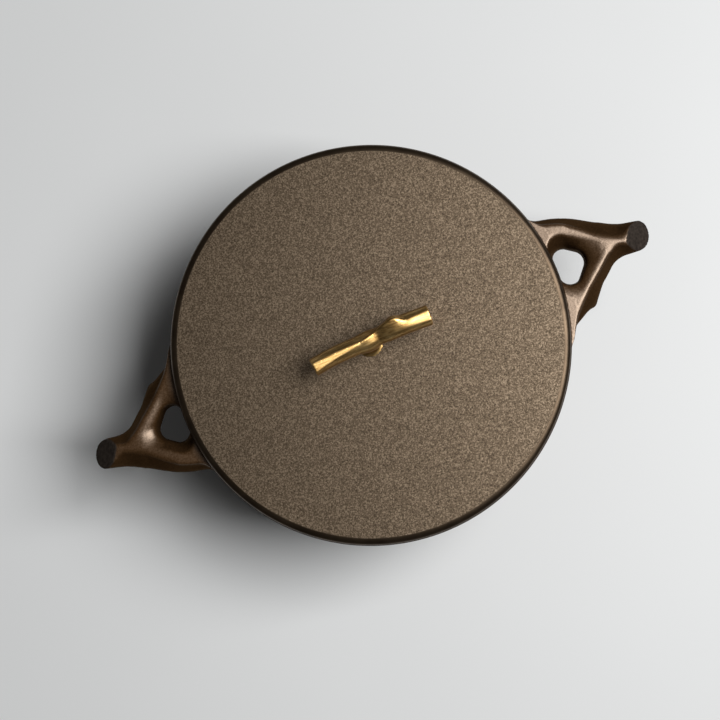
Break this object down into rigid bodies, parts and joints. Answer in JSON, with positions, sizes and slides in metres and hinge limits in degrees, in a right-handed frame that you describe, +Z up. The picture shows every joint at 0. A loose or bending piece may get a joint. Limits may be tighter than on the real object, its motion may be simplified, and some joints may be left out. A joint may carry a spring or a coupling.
{
  "type": "dutch oven",
  "caption": "Round cast-iron dutch oven with branch-shaped side handles and a flat loose lid lifted by a brass twig handle, for stewing and braising.",
  "frame": {"origin": "middle of the pot's flat base", "axes": "+Z up, +X along the two side handles"},
  "size_m": [0.3474, 0.23, 0.1345],
  "materials": {
    "pot_iron": "seasoned bronze-brown casting with a satin sheen",
    "lid_iron": "seasoned bronze-brown casting with a sandy grain",
    "brass": "polished cast brass with fine tool marks",
    "steel": "plain stainless steel"
  },
  "bodies": {
    "pot": {"pot_body": "pot_iron"},
    "lid": {"lid": "lid_iron", "lid_handle": "brass", "lid_handle_screw": "steel", "lock_washer": "steel", "flat_washer": "steel"}
  },
  "joints": [
    {"name": "lid_lift", "type": "slide", "parent": "pot", "child": "lid", "axis": [0, 0, 1], "range_m": [0, 0.15]}
  ]
}
